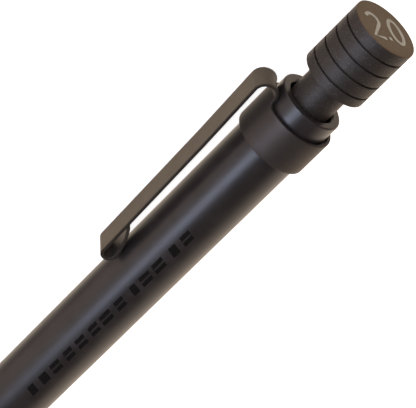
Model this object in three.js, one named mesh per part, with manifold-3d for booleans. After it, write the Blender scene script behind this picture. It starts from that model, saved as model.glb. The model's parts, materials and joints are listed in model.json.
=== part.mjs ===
// A push-button clutch pencil for thick leads, with a knurled grip and a folded metal clip.
//
// The pencil is built standing on its writing end: +Z runs along its axis to the push knob,
// z = 0 is the mouth of the lead sleeve, and the clip is on the +Y side.
// A group then lays it down on the surface z = 0, rolled over until its clip touches.
import * as THREE from "three";
import { mergeVertices } from "three/addons/utils/BufferGeometryUtils.js";
import Module from "manifold-3d";

const wasm = await Module();
wasm.setup();

// ---------------------------------------------------------------- driving dimensions, in mm

// How finely round pieces are faceted.
const shellFacets = 48;
const innerFacets = 32;
const wireFacets = 8;

// Clearances. The radial ones are per side.
const slideGap = 0.05; // pieces that slide in each other
const fitGap = 0.04; // pieces screwed or pressed into each other
const faceGap = 0.1; // faces that meet end to end
const runningGap = 0.15; // where the lead passes freely

// Lengths along the axis, from the writing end to the knob.
const sleeveReach = 3.4; // lead sleeve standing out of the nose
const noseLength = 16;
const gripLength = 28;
const barrelLength = 81.85;
const knobLength = 9.45;

// Outside radii.
const outerRadius = 4.5; // barrel and grip
const noseRearRadius = 4.3;
const noseFrontRadius = 2.2;
const knobRadius = 4.56;
const stemRadius = 3;

// Lead.
const leadRadius = 1;
const leadLength = 120;
const leadReach = 2.5; // how far the point stands out of its sleeve
const leadPointLength = 3;
const leadTipRadius = 0.2;

// Lead sleeve and the rubber ring behind it.
const sleeveBoreGap = 0.08;
const sleeveWall = 0.42;
const sleeveSeat = 4.8; // length held in the nose
const sleeveBevel = 0.25;
const retainerWall = 0.85;
const retainerLength = 1.6;

// Push button travel, and the part of it that the clutch ring shares.
const pushTravel = 4;
const ringTravel = 1.6;
const endGap = 0.25; // left in front of the jaws when the button is fully pressed
const knobGap = 0.3; // left between knob and barrel then

// Collet: three jaws on springy legs, and the tube that carries them.
const jawCount = 3;
const jawSlit = 0.35;
const jawHeadWall = 1.13;
const jawLipLength = 0.3;
const jawBevel = 0.15;
const jawTaper = 0.2; // radius lost per millimetre behind the lip
const jawLegWall = 0.35;
const jawGripLength = 3.6;
const jawLength = 12.8;
const jawSwingRoom = 0.39; // for the lip as the jaws open
const colletTailLength = 9.9;

// Clutch ring around the jaws.
const ringSeatDepth = 1.3; // how far behind the lip the ring grips the taper
const ringSeatLength = 1;
const ringWall = 0.85;
const ringLength = 2.8;

// Clutch sleeve that the ring and the spring both lean on.
const clutchSleeveWall = 0.6;
const clutchFlangeLength = 0.9;

// Nose cone.
const noseFrontBevel = 0.3;
const noseRearLand = 0.5;
const noseThreadWall = 0.5;
const noseThreadLength = 6;

// O-ring between nose and grip.
const oRingSection = 0.4;
const oRingPocketLength = 0.6;

// Grip: a threaded core with a knurled shell over it.
const coreWall = 0.42;
const coreShoulderWall = 0.4;
const coreShoulderLength = 0.9;
const coreThreadLength = 7; // the part screwed into the barrel
const gripLandLength = 1.6;
const gripGrooveWidth = 0.4;
const gripGrooveDepth = 0.2;
const knurlDepth = 0.08;

// Return spring.
const springWire = 0.5;
const springTurns = 9;
const springLength = 13.4;
const springFlatTurns = 0.8; // closed coils at each end
const springClosedPitch = 0.575;
const springStepsPerTurn = 14;

// Connector between the collet and the lead tube.
const cupWall = 0.5;
const cupGap = 0.7; // left in front of the cup when the button is fully pressed
const connectorFlangeLength = 2;
const connectorSpigotLength = 6;
const funnelLength = 4;
const funnelWall = 0.2;

// Lead tube, and the eraser in its mouth.
const tubeWall = 0.4;
const tubeRoom = 0.1; // at least this much around the tube in the grip core
const tubeRecess = 6; // from the tube's mouth to the knob's end face
const eraserInsertion = 5.5;
const eraserReach = 2.4;
const eraserRounding = 0.4;

// Push stem and knob.
const stemWall = 0.25;
const stemShoulderWall = 0.6;
const stemHidden = 8.25; // stem inside the barrel
const knobEndWall = 2.1;
const knobGrooveCount = 4;
const knobGroovePitch = 2.04;
const knobGrooveInset = 1.78;
const knobGrooveWidth = 0.22;
const knobGrooveDepth = 0.3;

// Barrel's rear end.
const barrelEndGap = 0.3; // around the push stem
const barrelLipLength = 3;
const bushWall = 0.7;
const bushLength = 8;

// Clip: one folded strip on a band around the barrel.
const bandInset = 2.59; // below the barrel's end
const bandHeight = 5.36;
const bandGap = 0.28; // between band and barrel, filled by the liner
const linerInset = 0.35;
const sheet = 0.44; // thickness of the clip's metal
const clipWidth = 3.5;
const neckRootWidth = 4;
const neckHeight = 0.9;
const foldRadius = 1.39; // all the clip's radii are to the middle of the sheet
const armUpperLength = 10.8;
const armUpperDrop = 0.4; // towards the barrel
const armLowerLength = 21.2;
const loopGap = 0.37; // between the loop and the barrel
const loopRadius = 0.92;
const loopReturnLength = 4.9;
const loopBulge = 2.1;
const clipJointGap = 0.15;
const foldSteps = 8;
const loopSteps = 14;
const returnSteps = 6;

// ---------------------------------------------------------------- places worked out from them

// Heights of the outside pieces.
const noseFrontZ = sleeveReach;
const gripFrontZ = noseFrontZ + noseLength;
const barrelFrontZ = gripFrontZ + gripLength;
const barrelRearZ = barrelFrontZ + barrelLength;
const knobFrontZ = barrelRearZ + pushTravel + knobGap;
const knobRearZ = knobFrontZ + knobLength;

// The clutch, from the lead outwards and from the nose backwards.
const sleeveBore = leadRadius + sleeveBoreGap;
const sleeveRadius = sleeveBore + sleeveWall;
const sleeveRearZ = noseFrontZ + sleeveSeat;
const runningBore = leadRadius + runningGap;
const grippingBore = leadRadius + slideGap;
const retainerRadius = grippingBore + retainerWall;
const retainerFrontZ = sleeveRearZ + faceGap;
const retainerRearZ = retainerFrontZ + retainerLength;
const chamberFrontZ = retainerRearZ + faceGap;
const jawFrontZ = chamberFrontZ + endGap + pushTravel;
const jawRadius = grippingBore + jawHeadWall;
const jawLegRadius = runningBore + jawLegWall;
const jawLipZ = jawFrontZ + jawLipLength;
const jawTaperEndZ = jawLipZ + (jawRadius - jawLegRadius) / jawTaper;
const jawRootZ = jawFrontZ + jawLength;
const colletFrontZ = jawRootZ + faceGap;
const colletRearZ = colletFrontZ + colletTailLength;
const chamberRadius = jawRadius + jawSwingRoom;

const ringFrontZ = jawLipZ + ringSeatDepth;
const ringRearZ = ringFrontZ + ringLength;
const ringMouthRadius = jawRadius - jawTaper * ringSeatDepth + slideGap;
const ringBoreRadius = ringMouthRadius - jawTaper * ringSeatLength;
const ringRadius = ringBoreRadius + ringWall;
const ringStopZ = ringFrontZ - ringTravel - slideGap;
const ringChamberRadius = ringRadius + slideGap;

// The grip core takes the nose's thread at its front and the lead tube at its rear.
const stemBore = stemRadius - stemWall;
const tubeRadius = stemBore - slideGap;
const tubeBore = tubeRadius - tubeWall;
const coreBore = Math.max(ringChamberRadius + noseThreadWall + fitGap, tubeRadius + tubeRoom);
const noseThreadRadius = coreBore - fitGap;
const noseThreadEndZ = gripFrontZ + noseThreadLength;
const coreRadius = coreBore + coreWall;
const coreFrontZ = gripFrontZ + oRingPocketLength;
const clutchFlangeFrontZ = noseThreadEndZ + faceGap;
const clutchFlangeRearZ = clutchFlangeFrontZ + clutchFlangeLength;
const clutchSleeveFrontZ = ringRearZ + faceGap;
const clutchSleeveBore = ringRadius - clutchSleeveWall;
const coreShoulderZ = clutchFlangeRearZ + slideGap;
const coreShoulderRearZ = coreShoulderZ + coreShoulderLength;
const coreShoulderRadius = coreBore - coreShoulderWall;

// The push rod, from the spring back to the knob.
const springFrontZ = clutchFlangeRearZ + faceGap;
const springRearZ = springFrontZ + springLength;
const connectorFlangeZ = springRearZ + faceGap;
const connectorFlangeRearZ = connectorFlangeZ + connectorFlangeLength;
const cupFrontZ = clutchFlangeRearZ + pushTravel + cupGap;
const cupBore = jawLegRadius + fitGap;
const cupRadius = cupBore + cupWall;
const cupFloorZ = colletRearZ + faceGap;
const springRadius = cupRadius + fitGap + springWire / 2 + faceGap;
const connectorFlangeRadius = coreBore - slideGap;
const spigotRadius = tubeBore - fitGap;
const spigotRearZ = connectorFlangeRearZ + connectorSpigotLength;
const tubeFrontZ = connectorFlangeRearZ + faceGap;
const tubeRearZ = knobRearZ - tubeRecess;
const eraserFrontZ = tubeRearZ - eraserInsertion;
const eraserRearZ = tubeRearZ + eraserReach;
const stemFrontZ = barrelRearZ - stemHidden;
const stemShoulderZ = tubeRearZ + slideGap;
const knobFloorZ = knobRearZ - knobEndWall;
const stemRearZ = knobFloorZ - faceGap;

// The barrel and what guides the stem in it.
const barrelFrontBore = coreRadius + fitGap;
const bushRadius = stemRadius + slideGap + bushWall;
const barrelRearBore = bushRadius + fitGap;
const barrelLipRadius = stemRadius + barrelEndGap;
const barrelLipZ = barrelRearZ - barrelLipLength;
const bushRearZ = barrelLipZ - faceGap;
const bushFrontZ = bushRearZ - bushLength;

// The clip. Its strip is drawn in a plane through the axis, as [distance from axis, height].
const bandTopZ = barrelRearZ - bandInset;
const bandBottomZ = bandTopZ - bandHeight;
const bandBore = outerRadius + bandGap;
const bandRadius = bandBore + sheet;
const neckY = bandBore + sheet / 2;
const foldY = neckY + foldRadius;
const foldZ = bandTopZ + neckHeight;
const armTopY = foldY + foldRadius;
const armBendY = armTopY - armUpperDrop;
const armBendZ = foldZ - armUpperLength;
const armEndY = outerRadius + loopGap + sheet / 2 + 2 * loopRadius;
const loopZ = armBendZ - armLowerLength;
const loopY = armEndY - loopRadius;
const loopEndZ = loopZ + loopReturnLength;
const armLean = (armBendY - armEndY) / armLowerLength;
const armInsideY = armEndY - sheet / 2 + armLean * loopReturnLength;

// ---------------------------------------------------------------- materials

function finish(color, roughness, metalness) {
  return new THREE.MeshStandardMaterial({ color, roughness, metalness });
}

const satinBlack = finish(0x1b1c1f, 0.38, 0.6);
const gunmetal = finish(0x3f3b3a, 0.55, 0.7);
const clipGrey = finish(0x6f675f, 0.6, 0.6);
const brass = finish(0xb08d4a, 0.35, 1);
const steel = finish(0xb9bbbd, 0.3, 1);
const blackRubber = finish(0x161616, 0.9, 0);
const blackNylon = finish(0x232323, 0.7, 0);
const clearGrey = finish(0x8d9196, 0.4, 0);
const whiteVinyl = finish(0xe9e7e1, 0.85, 0);
const graphite = finish(0x2c2c2e, 0.5, 0.2);

// ---------------------------------------------------------------- how pieces are made

const pencil = new THREE.Group();

function piece(name, geometry, material) {
  const mesh = new THREE.Mesh(geometry, material);
  mesh.name = name;
  pencil.add(mesh);
}

// Revolves an outline of [radius, height] points about the axis. An outline that starts and
// ends on the axis stays as it is, and any other is closed on itself.
function turned(outline, facets = innerFacets) {
  const points = outline.map(([radius, height]) => new THREE.Vector2(radius, height));
  if (THREE.ShapeUtils.area(points) < 0) points.reverse();
  const onAxis = points[0].x === 0 && points.at(-1).x === 0;
  if (!onAxis) points.push(points[0].clone());
  return new THREE.LatheGeometry(points, facets).rotateX(Math.PI / 2);
}

// A plain tube or ring between two heights.
function tube(bore, radius, frontZ, rearZ, facets = innerFacets) {
  return turned([[bore, frontZ], [radius, frontZ], [radius, rearZ], [bore, rearZ]], facets);
}

// Pushes a flat outline of [across, up] points straight out to a thickness.
function extruded(outline, thickness) {
  const shape = new THREE.Shape(outline.map(([x, y]) => new THREE.Vector2(x, y)));
  return new THREE.ExtrudeGeometry(shape, { depth: thickness, bevelEnabled: false });
}

// Between a three.js geometry and a solid that can be cut and joined.
function solid(geometry) {
  const bare = new THREE.BufferGeometry();
  bare.setAttribute("position", geometry.getAttribute("position"));
  bare.setIndex(geometry.getIndex());
  const merged = mergeVertices(bare);
  return new wasm.Manifold(
    new wasm.Mesh({
      numProp: 3,
      vertProperties: merged.getAttribute("position").array,
      triVerts: new Uint32Array(merged.getIndex().array),
    }),
  );
}

function geometryOf(manifold) {
  const mesh = manifold.getMesh();
  const geometry = new THREE.BufferGeometry();
  geometry.setAttribute("position", new THREE.BufferAttribute(mesh.vertProperties, 3));
  geometry.setIndex(new THREE.BufferAttribute(mesh.triVerts, 1));
  return geometry;
}

// ---------------------------------------------------------------- nose

function noseCone() {
  const coneRearZ = gripFrontZ - noseRearLand;
  return turned([
    [sleeveRadius + fitGap, noseFrontZ],
    [noseFrontRadius - noseFrontBevel, noseFrontZ],
    [noseFrontRadius, noseFrontZ + noseFrontBevel],
    [noseRearRadius, coneRearZ],
    [noseRearRadius, gripFrontZ],
    [noseThreadRadius, gripFrontZ],
    [noseThreadRadius, noseThreadEndZ],
    [ringChamberRadius, noseThreadEndZ],
    [ringChamberRadius, ringStopZ],
    [chamberRadius, ringStopZ],
    [chamberRadius, chamberFrontZ],
    [retainerRadius + fitGap, chamberFrontZ],
    [retainerRadius + fitGap, sleeveRearZ + faceGap / 2],
    [sleeveRadius + fitGap, sleeveRearZ + faceGap / 2],
  ], shellFacets);
}

function leadSleeve() {
  return turned([
    [sleeveBore, 0],
    [sleeveRadius - sleeveBevel, 0],
    [sleeveRadius, sleeveBevel],
    [sleeveRadius, sleeveRearZ],
    [sleeveBore, sleeveRearZ],
  ]);
}

function leadRetainer() {
  return tube(grippingBore, retainerRadius, retainerFrontZ, retainerRearZ);
}

function noseORing() {
  const middleRadius = (coreBore + coreRadius) / 2;
  const middleZ = gripFrontZ + oRingPocketLength / 2;
  const outline = [];
  for (let step = 0; step < wireFacets; step++) {
    const angle = (2 * Math.PI * step) / wireFacets;
    outline.push([
      middleRadius + (oRingSection / 2) * Math.cos(angle),
      middleZ + (oRingSection / 2) * Math.sin(angle),
    ]);
  }
  return turned(outline);
}

// ---------------------------------------------------------------- clutch

// The three jaws are cut from one turned head by the slits between them.
function colletJaw(index) {
  const head = turned([
    [grippingBore, jawFrontZ],
    [jawRadius - jawBevel, jawFrontZ],
    [jawRadius, jawFrontZ + jawBevel],
    [jawRadius, jawLipZ],
    [jawLegRadius, jawTaperEndZ],
    [jawLegRadius, jawRootZ],
    [runningBore, jawRootZ],
    [runningBore, jawFrontZ + jawGripLength],
    [grippingBore, jawFrontZ + jawGripLength],
  ]);
  const halfAngle = Math.PI / jawCount;
  const apex = jawSlit / 2 / Math.sin(halfAngle);
  const reach = 4 * jawRadius;
  const wedge = extruded([
    [apex, 0],
    [apex + reach * Math.cos(halfAngle), -reach * Math.sin(halfAngle)],
    [apex + reach, 0],
    [apex + reach * Math.cos(halfAngle), reach * Math.sin(halfAngle)],
  ], jawRootZ);
  wedge.rotateZ(Math.PI / 2 + index * 2 * halfAngle);
  wedge.translate(0, 0, jawFrontZ / 2);
  return geometryOf(solid(head).intersect(solid(wedge)));
}

function colletTail() {
  return tube(runningBore, jawLegRadius, colletFrontZ, colletRearZ);
}

function clutchRing() {
  return turned([
    [ringMouthRadius, ringFrontZ],
    [ringRadius, ringFrontZ],
    [ringRadius, ringRearZ],
    [ringBoreRadius, ringRearZ],
    [ringBoreRadius, ringFrontZ + ringSeatLength],
  ]);
}

function clutchSleeve() {
  const flangeRadius = coreBore - fitGap;
  return turned([
    [clutchSleeveBore, clutchSleeveFrontZ],
    [ringRadius, clutchSleeveFrontZ],
    [ringRadius, clutchFlangeFrontZ],
    [flangeRadius, clutchFlangeFrontZ],
    [flangeRadius, clutchFlangeRearZ],
    [clutchSleeveBore, clutchFlangeRearZ],
  ]);
}

// A helix whose first and last coils lie flat against each other.
class SpringLine extends THREE.Curve {
  getPoint(along) {
    const turn = along * springTurns;
    const openTurns = springTurns - 2 * springFlatTurns;
    const run = springLength - springWire;
    const openPitch = (run - 2 * springFlatTurns * springClosedPitch) / openTurns;
    const front = Math.min(turn, springFlatTurns) * springClosedPitch;
    const middle = THREE.MathUtils.clamp(turn - springFlatTurns, 0, openTurns) * openPitch;
    const rear = Math.max(turn - springFlatTurns - openTurns, 0) * springClosedPitch;
    const angle = 2 * Math.PI * turn;
    return new THREE.Vector3(
      springRadius * Math.cos(angle),
      springRadius * Math.sin(angle),
      springFrontZ + springWire / 2 + front + middle + rear,
    );
  }
}

function returnSpring() {
  const section = new THREE.Shape();
  section.absarc(0, 0, springWire / 2, 0, 2 * Math.PI);
  return new THREE.ExtrudeGeometry(section, {
    extrudePath: new SpringLine(),
    steps: springTurns * springStepsPerTurn,
    curveSegments: wireFacets,
  });
}

// ---------------------------------------------------------------- grip

function gripCore() {
  return turned([
    [coreBore, coreFrontZ],
    [coreRadius, coreFrontZ],
    [coreRadius, barrelFrontZ + coreThreadLength],
    [coreBore, barrelFrontZ + coreThreadLength],
    [coreBore, coreShoulderRearZ],
    [coreShoulderRadius, coreShoulderRearZ],
    [coreShoulderRadius, coreShoulderZ],
    [coreBore, coreShoulderZ],
  ]);
}

// The shell has a plain land and a groove at each end of its knurling.
function knurledGrip() {
  const bore = coreRadius + fitGap;
  const rearZ = barrelFrontZ - faceGap;
  const grooveRadius = outerRadius - gripGrooveDepth;
  const knurlRadius = outerRadius - knurlDepth;
  const knurlFrontZ = gripFrontZ + gripLandLength + gripGrooveWidth;
  const knurlRearZ = rearZ - gripLandLength - gripGrooveWidth;
  return turned([
    [bore, gripFrontZ + faceGap],
    [outerRadius, gripFrontZ + faceGap],
    [outerRadius, gripFrontZ + gripLandLength],
    [grooveRadius, gripFrontZ + gripLandLength],
    [grooveRadius, knurlFrontZ],
    [knurlRadius, knurlFrontZ],
    [knurlRadius, knurlRearZ],
    [grooveRadius, knurlRearZ],
    [grooveRadius, rearZ - gripLandLength],
    [outerRadius, rearZ - gripLandLength],
    [outerRadius, rearZ],
    [bore, rearZ],
  ], shellFacets);
}

// ---------------------------------------------------------------- push rod

function chuckConnector() {
  return turned([
    [cupBore, cupFrontZ],
    [cupRadius, cupFrontZ],
    [cupRadius, connectorFlangeZ],
    [connectorFlangeRadius, connectorFlangeZ],
    [connectorFlangeRadius, connectorFlangeRearZ],
    [spigotRadius, connectorFlangeRearZ],
    [spigotRadius, spigotRearZ],
    [spigotRadius - funnelWall, spigotRearZ],
    [runningBore, spigotRearZ - funnelLength],
    [runningBore, cupFloorZ],
    [cupBore, cupFloorZ],
  ]);
}

function leadTube() {
  return tube(tubeBore, tubeRadius, tubeFrontZ, tubeRearZ);
}

function eraser() {
  const radius = tubeBore - slideGap;
  return turned([
    [0, eraserFrontZ],
    [radius, eraserFrontZ],
    [radius, eraserRearZ - eraserRounding],
    [radius - eraserRounding, eraserRearZ],
    [0, eraserRearZ],
  ]);
}

function lead() {
  const pointZ = -leadReach;
  return turned([
    [0, pointZ],
    [leadTipRadius, pointZ],
    [leadRadius, pointZ + leadPointLength],
    [leadRadius, pointZ + leadLength],
    [0, pointZ + leadLength],
  ]);
}

// The stem slips over the lead tube, and a step inside it pushes on the tube's mouth.
function pushStem() {
  const shoulderRadius = stemRadius - stemShoulderWall;
  return turned([
    [stemBore, stemFrontZ],
    [stemRadius, stemFrontZ],
    [stemRadius, stemRearZ],
    [shoulderRadius, stemRearZ],
    [shoulderRadius, stemShoulderZ],
    [stemBore, stemShoulderZ],
  ], shellFacets);
}

function pushKnob() {
  const bore = stemRadius + fitGap;
  const outline = [
    [0, knobFloorZ],
    [bore, knobFloorZ],
    [bore, knobFrontZ],
    [knobRadius, knobFrontZ],
  ];
  for (let groove = knobGrooveCount - 1; groove >= 0; groove--) {
    const middleZ = knobRearZ - knobGrooveInset - groove * knobGroovePitch;
    outline.push([knobRadius, middleZ - knobGrooveWidth / 2]);
    outline.push([knobRadius - knobGrooveDepth, middleZ - knobGrooveWidth / 2]);
    outline.push([knobRadius - knobGrooveDepth, middleZ + knobGrooveWidth / 2]);
    outline.push([knobRadius, middleZ + knobGrooveWidth / 2]);
  }
  outline.push([knobRadius, knobRearZ], [0, knobRearZ]);
  return turned(outline, shellFacets);
}

// ---------------------------------------------------------------- barrel

// The bush sits in the wider rear part of the bore, between a step and the end's lip.
function barrel() {
  const stepZ = bushFrontZ - faceGap;
  return turned([
    [barrelFrontBore, barrelFrontZ],
    [outerRadius, barrelFrontZ],
    [outerRadius, barrelRearZ],
    [barrelLipRadius, barrelRearZ],
    [barrelLipRadius, barrelLipZ],
    [barrelRearBore, barrelLipZ],
    [barrelRearBore, stepZ],
    [barrelFrontBore, stepZ],
  ], shellFacets);
}

function guideBush() {
  return tube(stemRadius + slideGap, bushRadius, bushFrontZ, bushRearZ);
}

// ---------------------------------------------------------------- clip

// The middle line of the strip from the crest of its fold, down the arm, round the loop and
// back up to the inside of the arm.
function armLine() {
  const line = [];
  for (let step = 0; step <= foldSteps; step++) {
    const angle = (Math.PI / 2) * (1 - step / foldSteps);
    line.push([foldY + foldRadius * Math.cos(angle), foldZ + foldRadius * Math.sin(angle)]);
  }
  line.push([armBendY, armBendZ]);
  for (let step = 0; step <= loopSteps; step++) {
    const angle = (-Math.PI * step) / loopSteps;
    line.push([loopY + loopRadius * Math.cos(angle), loopZ + loopRadius * Math.sin(angle)]);
  }
  const start = new THREE.Vector2(loopY - loopRadius, loopZ);
  const bulge = new THREE.Vector2(start.x, loopZ + loopBulge);
  const end = new THREE.Vector2(armInsideY, loopEndZ);
  const wayBack = new THREE.QuadraticBezierCurve(start, bulge, end);
  for (const point of wayBack.getPoints(returnSteps).slice(1)) {
    line.push([point.x, point.y]);
  }
  return line;
}

// The crest of the fold down to the band, again as the middle of the sheet.
function neckLine() {
  const line = [];
  for (let step = 0; step <= foldSteps; step++) {
    const angle = Math.PI / 2 + (Math.PI / 2) * (step / foldSteps);
    line.push([foldY + foldRadius * Math.cos(angle), foldZ + foldRadius * Math.sin(angle)]);
  }
  return line;
}

// Gives a line the sheet's thickness: one side forward, the other side back. Where the strip
// ends against a wall at the distance wallY, both of its sides run on until they meet it.
function stripOutline(line, wallY) {
  const last = line.length - 1;
  const sides = [1, -1].map((side) =>
    line.map(([y, z], index) => {
      const [beforeY, beforeZ] = line[Math.max(index - 1, 0)];
      const [afterY, afterZ] = line[Math.min(index + 1, last)];
      const along = new THREE.Vector2(afterY - beforeY, afterZ - beforeZ).normalize();
      const offset = (side * sheet) / 2;
      const sideY = y - offset * along.y;
      const sideZ = z + offset * along.x;
      if (index < last || wallY === undefined) return [sideY, sideZ];
      return [wallY, sideZ + ((wallY - sideY) * along.y) / along.x];
    }),
  );
  return [...sides[0], ...sides[1].reverse()];
}

// Stands a strip drawn in the [y, z] plane up, centred across the clip.
function strip(line, width, wallY) {
  const geometry = extruded(stripOutline(line, wallY), width);
  geometry.translate(0, 0, -width / 2);
  geometry.rotateY(Math.PI / 2);
  geometry.rotateX(Math.PI / 2);
  return geometry;
}

// The arm and the neck part at the crest of the fold.
function clipJoint() {
  const gap = new THREE.BoxGeometry(2 * clipWidth, clipJointGap, 4 * foldRadius);
  return solid(gap.translate(0, foldY, foldZ + foldRadius));
}

function clipArm() {
  const arm = solid(strip(armLine(), clipWidth, armInsideY - faceGap));
  return geometryOf(arm.subtract(clipJoint()));
}

// The band is a ring, and its neck is a wall of the same curve that widens into it.
function clipBand() {
  const ring = solid(tube(bandBore, bandRadius, bandBottomZ, bandTopZ, shellFacets));
  const riser = solid(tube(bandBore, bandRadius, bandTopZ - sheet, foldZ + sheet, shellFacets));
  const neckTopZ = foldZ + foldRadius + sheet;
  const flare = extruded([
    [-neckRootWidth / 2, bandTopZ - 2 * sheet],
    [neckRootWidth / 2, bandTopZ - 2 * sheet],
    [neckRootWidth / 2, bandTopZ],
    [clipWidth / 2, foldZ],
    [clipWidth / 2, neckTopZ],
    [-clipWidth / 2, neckTopZ],
    [-clipWidth / 2, foldZ],
    [-neckRootWidth / 2, bandTopZ],
  ], 2 * bandRadius);
  flare.rotateX(Math.PI / 2);
  flare.translate(0, 2 * bandRadius, 0);
  const fold = solid(strip(neckLine(), clipWidth));
  const neck = riser.intersect(solid(flare)).add(fold).subtract(clipJoint());
  return geometryOf(ring.add(neck));
}

function clipLiner() {
  return tube(
    outerRadius + fitGap,
    bandBore - fitGap,
    bandBottomZ + linerInset,
    bandTopZ - linerInset,
    shellFacets,
  );
}

// ---------------------------------------------------------------- the pencil

piece("nose_cone", noseCone(), gunmetal);
piece("lead_sleeve", leadSleeve(), steel);
piece("lead_retainer", leadRetainer(), blackRubber);
piece("nose_o_ring", noseORing(), blackRubber);

for (let index = 0; index < jawCount; index++) {
  piece(`collet_jaw_${index + 1}`, colletJaw(index), brass);
}
piece("collet_tail", colletTail(), brass);
piece("clutch_ring", clutchRing(), brass);
piece("clutch_sleeve", clutchSleeve(), brass);
piece("return_spring", returnSpring(), steel);

piece("grip_core", gripCore(), brass);
piece("knurled_grip", knurledGrip(), satinBlack);

piece("chuck_connector", chuckConnector(), brass);
piece("lead_tube", leadTube(), clearGrey);
piece("eraser", eraser(), whiteVinyl);
piece("lead", lead(), graphite);
piece("push_stem", pushStem(), gunmetal);
piece("push_knob", pushKnob(), gunmetal);

piece("barrel", barrel(), satinBlack);
piece("guide_bush", guideBush(), blackNylon);

piece("clip_arm", clipArm(), clipGrey);
piece("clip_band", clipBand(), clipGrey);
piece("clip_liner", clipLiner(), blackNylon);

// Lying down, the pencil rests on the band and on the edge of the clip's arm. The knob points
// along -X, and the clip is on the -Y side, tipped below the axis by the resting angle.
const armOuterY = armTopY + sheet / 2;
const cornerDistance = Math.hypot(armOuterY, clipWidth / 2);
const cornerAngle = Math.atan2(clipWidth / 2, armOuterY);
const restingAngle = Math.asin(bandRadius / cornerDistance) - cornerAngle;

pencil.rotation.z = Math.PI - restingAngle;
const lyingDown = new THREE.Group();
lyingDown.rotation.y = -Math.PI / 2;
lyingDown.add(pencil);

// The origin is on the surface, under the middle of the pencil's box.
const bounds = new THREE.Box3().setFromObject(lyingDown, true);
const middle = bounds.getCenter(new THREE.Vector3());
lyingDown.position.set(-middle.x, -middle.y, -bounds.min.z);

const group = new THREE.Group();
group.add(lyingDown);

export default group;
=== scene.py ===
# %% [markdown]
# # Dressing a clutch pencil
# The pencil comes as a imported CAD model: every piece is there, at its real size and in its
# real place, but with coarse facets and plain paint. This lesson keeps those sizes, remakes
# what can be seen with fine meshes, and gives each metal, plastic and rubber its own finish.
# The frame is loaded first.

# %% Load the frame
import json
import math

import bmesh
import bpy
from mathutils import Matrix, Vector


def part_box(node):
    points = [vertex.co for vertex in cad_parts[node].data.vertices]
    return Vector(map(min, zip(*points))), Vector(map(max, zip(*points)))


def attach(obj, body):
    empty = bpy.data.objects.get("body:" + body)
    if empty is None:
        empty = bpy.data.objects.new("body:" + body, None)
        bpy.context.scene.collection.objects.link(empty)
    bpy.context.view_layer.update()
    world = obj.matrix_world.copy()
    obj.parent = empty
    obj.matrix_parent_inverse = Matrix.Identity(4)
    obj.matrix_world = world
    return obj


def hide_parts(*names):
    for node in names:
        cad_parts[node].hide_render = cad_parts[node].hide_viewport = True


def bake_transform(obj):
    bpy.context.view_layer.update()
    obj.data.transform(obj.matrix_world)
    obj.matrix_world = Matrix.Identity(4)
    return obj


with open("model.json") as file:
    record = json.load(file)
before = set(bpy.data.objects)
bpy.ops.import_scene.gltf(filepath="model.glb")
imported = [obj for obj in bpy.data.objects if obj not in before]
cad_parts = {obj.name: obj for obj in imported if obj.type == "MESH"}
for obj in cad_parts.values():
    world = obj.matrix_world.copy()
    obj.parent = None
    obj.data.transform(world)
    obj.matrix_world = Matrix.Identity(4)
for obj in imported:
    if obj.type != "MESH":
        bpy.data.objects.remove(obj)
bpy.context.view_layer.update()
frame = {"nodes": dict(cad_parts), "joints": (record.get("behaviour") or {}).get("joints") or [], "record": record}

# %% [markdown]
# ## The pencil's own axes
# The pencil lies down, rolled over onto its clip, so world coordinates are awkward to draw in.
# Its makers would measure along its axis from the lead sleeve's mouth, and outwards from that
# axis. Both directions can be read from the joints: the button slides along the axis, and the
# clip bends about a line across it. One matrix then turns own millimetres into world metres.

# %% Own axes from the joints
MM = 0.001
joints = {joint["name"]: joint for joint in frame["joints"]}
TO_KNOB = -Vector(joints["button_press"]["axis"]).normalized()
ACROSS = Vector(joints["clip_flex"]["axis"]).normalized()
TO_CLIP = TO_KNOB.cross(ACROSS)

sleeve_low, sleeve_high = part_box("lead_sleeve")
MOUTH = (sleeve_low + sleeve_high) / 2
MOUTH.x = sleeve_high.x

turn = Matrix((ACROSS, TO_CLIP, TO_KNOB)).transposed().to_4x4()
OWN = Matrix.Translation(MOUTH) @ turn @ Matrix.Scale(MM, 4)
print("axis starts at", [round(value / MM, 2) for value in MOUTH], "mm")

# %% [markdown]
# ## Measuring a piece
# Positions are never typed in where the frame knows them. This small class reads a CAD piece
# in own millimetres: where it starts and ends along the axis, and how far in and out it
# reaches, both overall and at one height. Each fine mesh below starts from such a measure.

# %% Measure
SAME_HEIGHT = 0.02


class Measure:
    """A CAD piece's size in the pencil's own millimetres."""

    def __init__(self, node):
        back = OWN.inverted()
        points = [back @ vertex.co for vertex in frame["nodes"][node].data.vertices]
        self.rings = [(point.z, math.hypot(point.x, point.y)) for point in points]
        reaches = [reach for height, reach in self.rings]
        self.front = min(point.z for point in points)
        self.rear = max(point.z for point in points)
        self.bore = min(reaches)
        self.radius = max(reaches)
        self.inside = min(point.y for point in points)
        self.outside = max(point.y for point in points)
        self.half_width = max(point.x for point in points)

    def reaches_at(self, height):
        """The least and the greatest distance from the axis at one height."""
        there = [reach for level, reach in self.rings if abs(level - height) < SAME_HEIGHT]
        return min(there), max(there)


barrel = Measure("barrel")
knob = Measure("push_knob")
stem = Measure("push_stem")
print(f"barrel {2 * barrel.radius:.2f} mm across, {barrel.rear - barrel.front:.2f} mm long")

# %% [markdown]
# ## The camera
# The camera looks from beside the clip, a little from the knob's end, through a long lens, and
# it is rolled so that the pencil runs from the lower left to the upper right. It could be
# placed by coordinates, but angles from the clip and from the axis say what is meant.

# %% Camera
AIM_BELOW_KNOB = 34.4
CAMERA_DISTANCE = 292.2
AROUND_FROM_CLIP = math.radians(60)
TIPPED_TO_KNOB = math.radians(29.22)
ROLL = math.radians(45.4)
LENS = 198.2

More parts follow.
